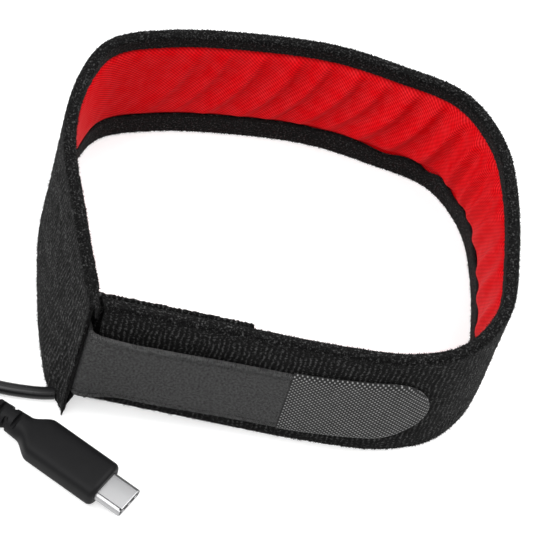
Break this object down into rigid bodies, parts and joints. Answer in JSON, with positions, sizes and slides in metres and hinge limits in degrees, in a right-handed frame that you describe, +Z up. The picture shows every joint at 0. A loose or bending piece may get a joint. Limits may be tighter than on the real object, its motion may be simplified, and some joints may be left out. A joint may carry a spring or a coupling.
{
  "type": "dew heater strip",
  "caption": "Soft black dew heater strip with a red inner liner, closed in a loop by an elastic strap and hook tab, with a lead and flat plug.",
  "frame": {"origin": "centre of the footprint of the standing band, on the surface that it stands on", "axes": "+Z up along the height of the band, +X to the right along its front, +Y from the strap to the back of the loop"},
  "size_m": [0.1697, 0.1408, 0.0352],
  "materials": {
    "pile": "black ribbed loop pile, matt and slightly fuzzy",
    "liner": "red twill nylon, satin",
    "foam": "closed-cell foam, matt",
    "carrier": "glass-cloth tape, matt",
    "wire": "drawn resistance wire",
    "steel": "satin plated steel",
    "core_red": "silicone insulation",
    "core_black": "silicone insulation",
    "elastic": "woven elastic webbing, matt",
    "hook_tape": "hook tape back, speckled weave",
    "jacket": "extruded soft jacket, semi-gloss",
    "tie": "woven tie, matt",
    "grip": "moulded soft plastic, satin",
    "insert": "moulded black plastic",
    "gold": "gold-plated contacts",
    "card": "coated circuit board"
  },
  "bodies": {
    "root": {"pile_cover": "pile", "red_liner": "liner", "foam_pad": "foam", "heater_carrier": "carrier", "heating_wire": "wire", "crimp_sleeve_lower": "steel", "crimp_sleeve_upper": "steel", "lead_core_red": "core_red", "lead_core_black": "core_black", "tail_facing": "pile", "elastic_strap": "elastic", "hook_tab": "hook_tape", "cable_out": "jacket", "cable_back": "jacket", "cable_coil": "jacket", "coil_tie_near": "tie", "coil_tie_far": "tie", "plug_grip": "grip", "plug_shell": "steel", "plug_insert": "insert", "contact_upper_1": "gold", "contact_upper_4": "gold", "contact_upper_5": "gold", "contact_upper_9": "gold", "contact_upper_12": "gold", "contact_lower_1": "gold", "contact_lower_4": "gold", "contact_lower_9": "gold", "contact_lower_12": "gold", "latch_spring_left": "steel", "latch_spring_right": "steel", "ground_spring_upper": "steel", "ground_spring_lower": "steel", "plug_card": "card"}
  },
  "joints": []
}
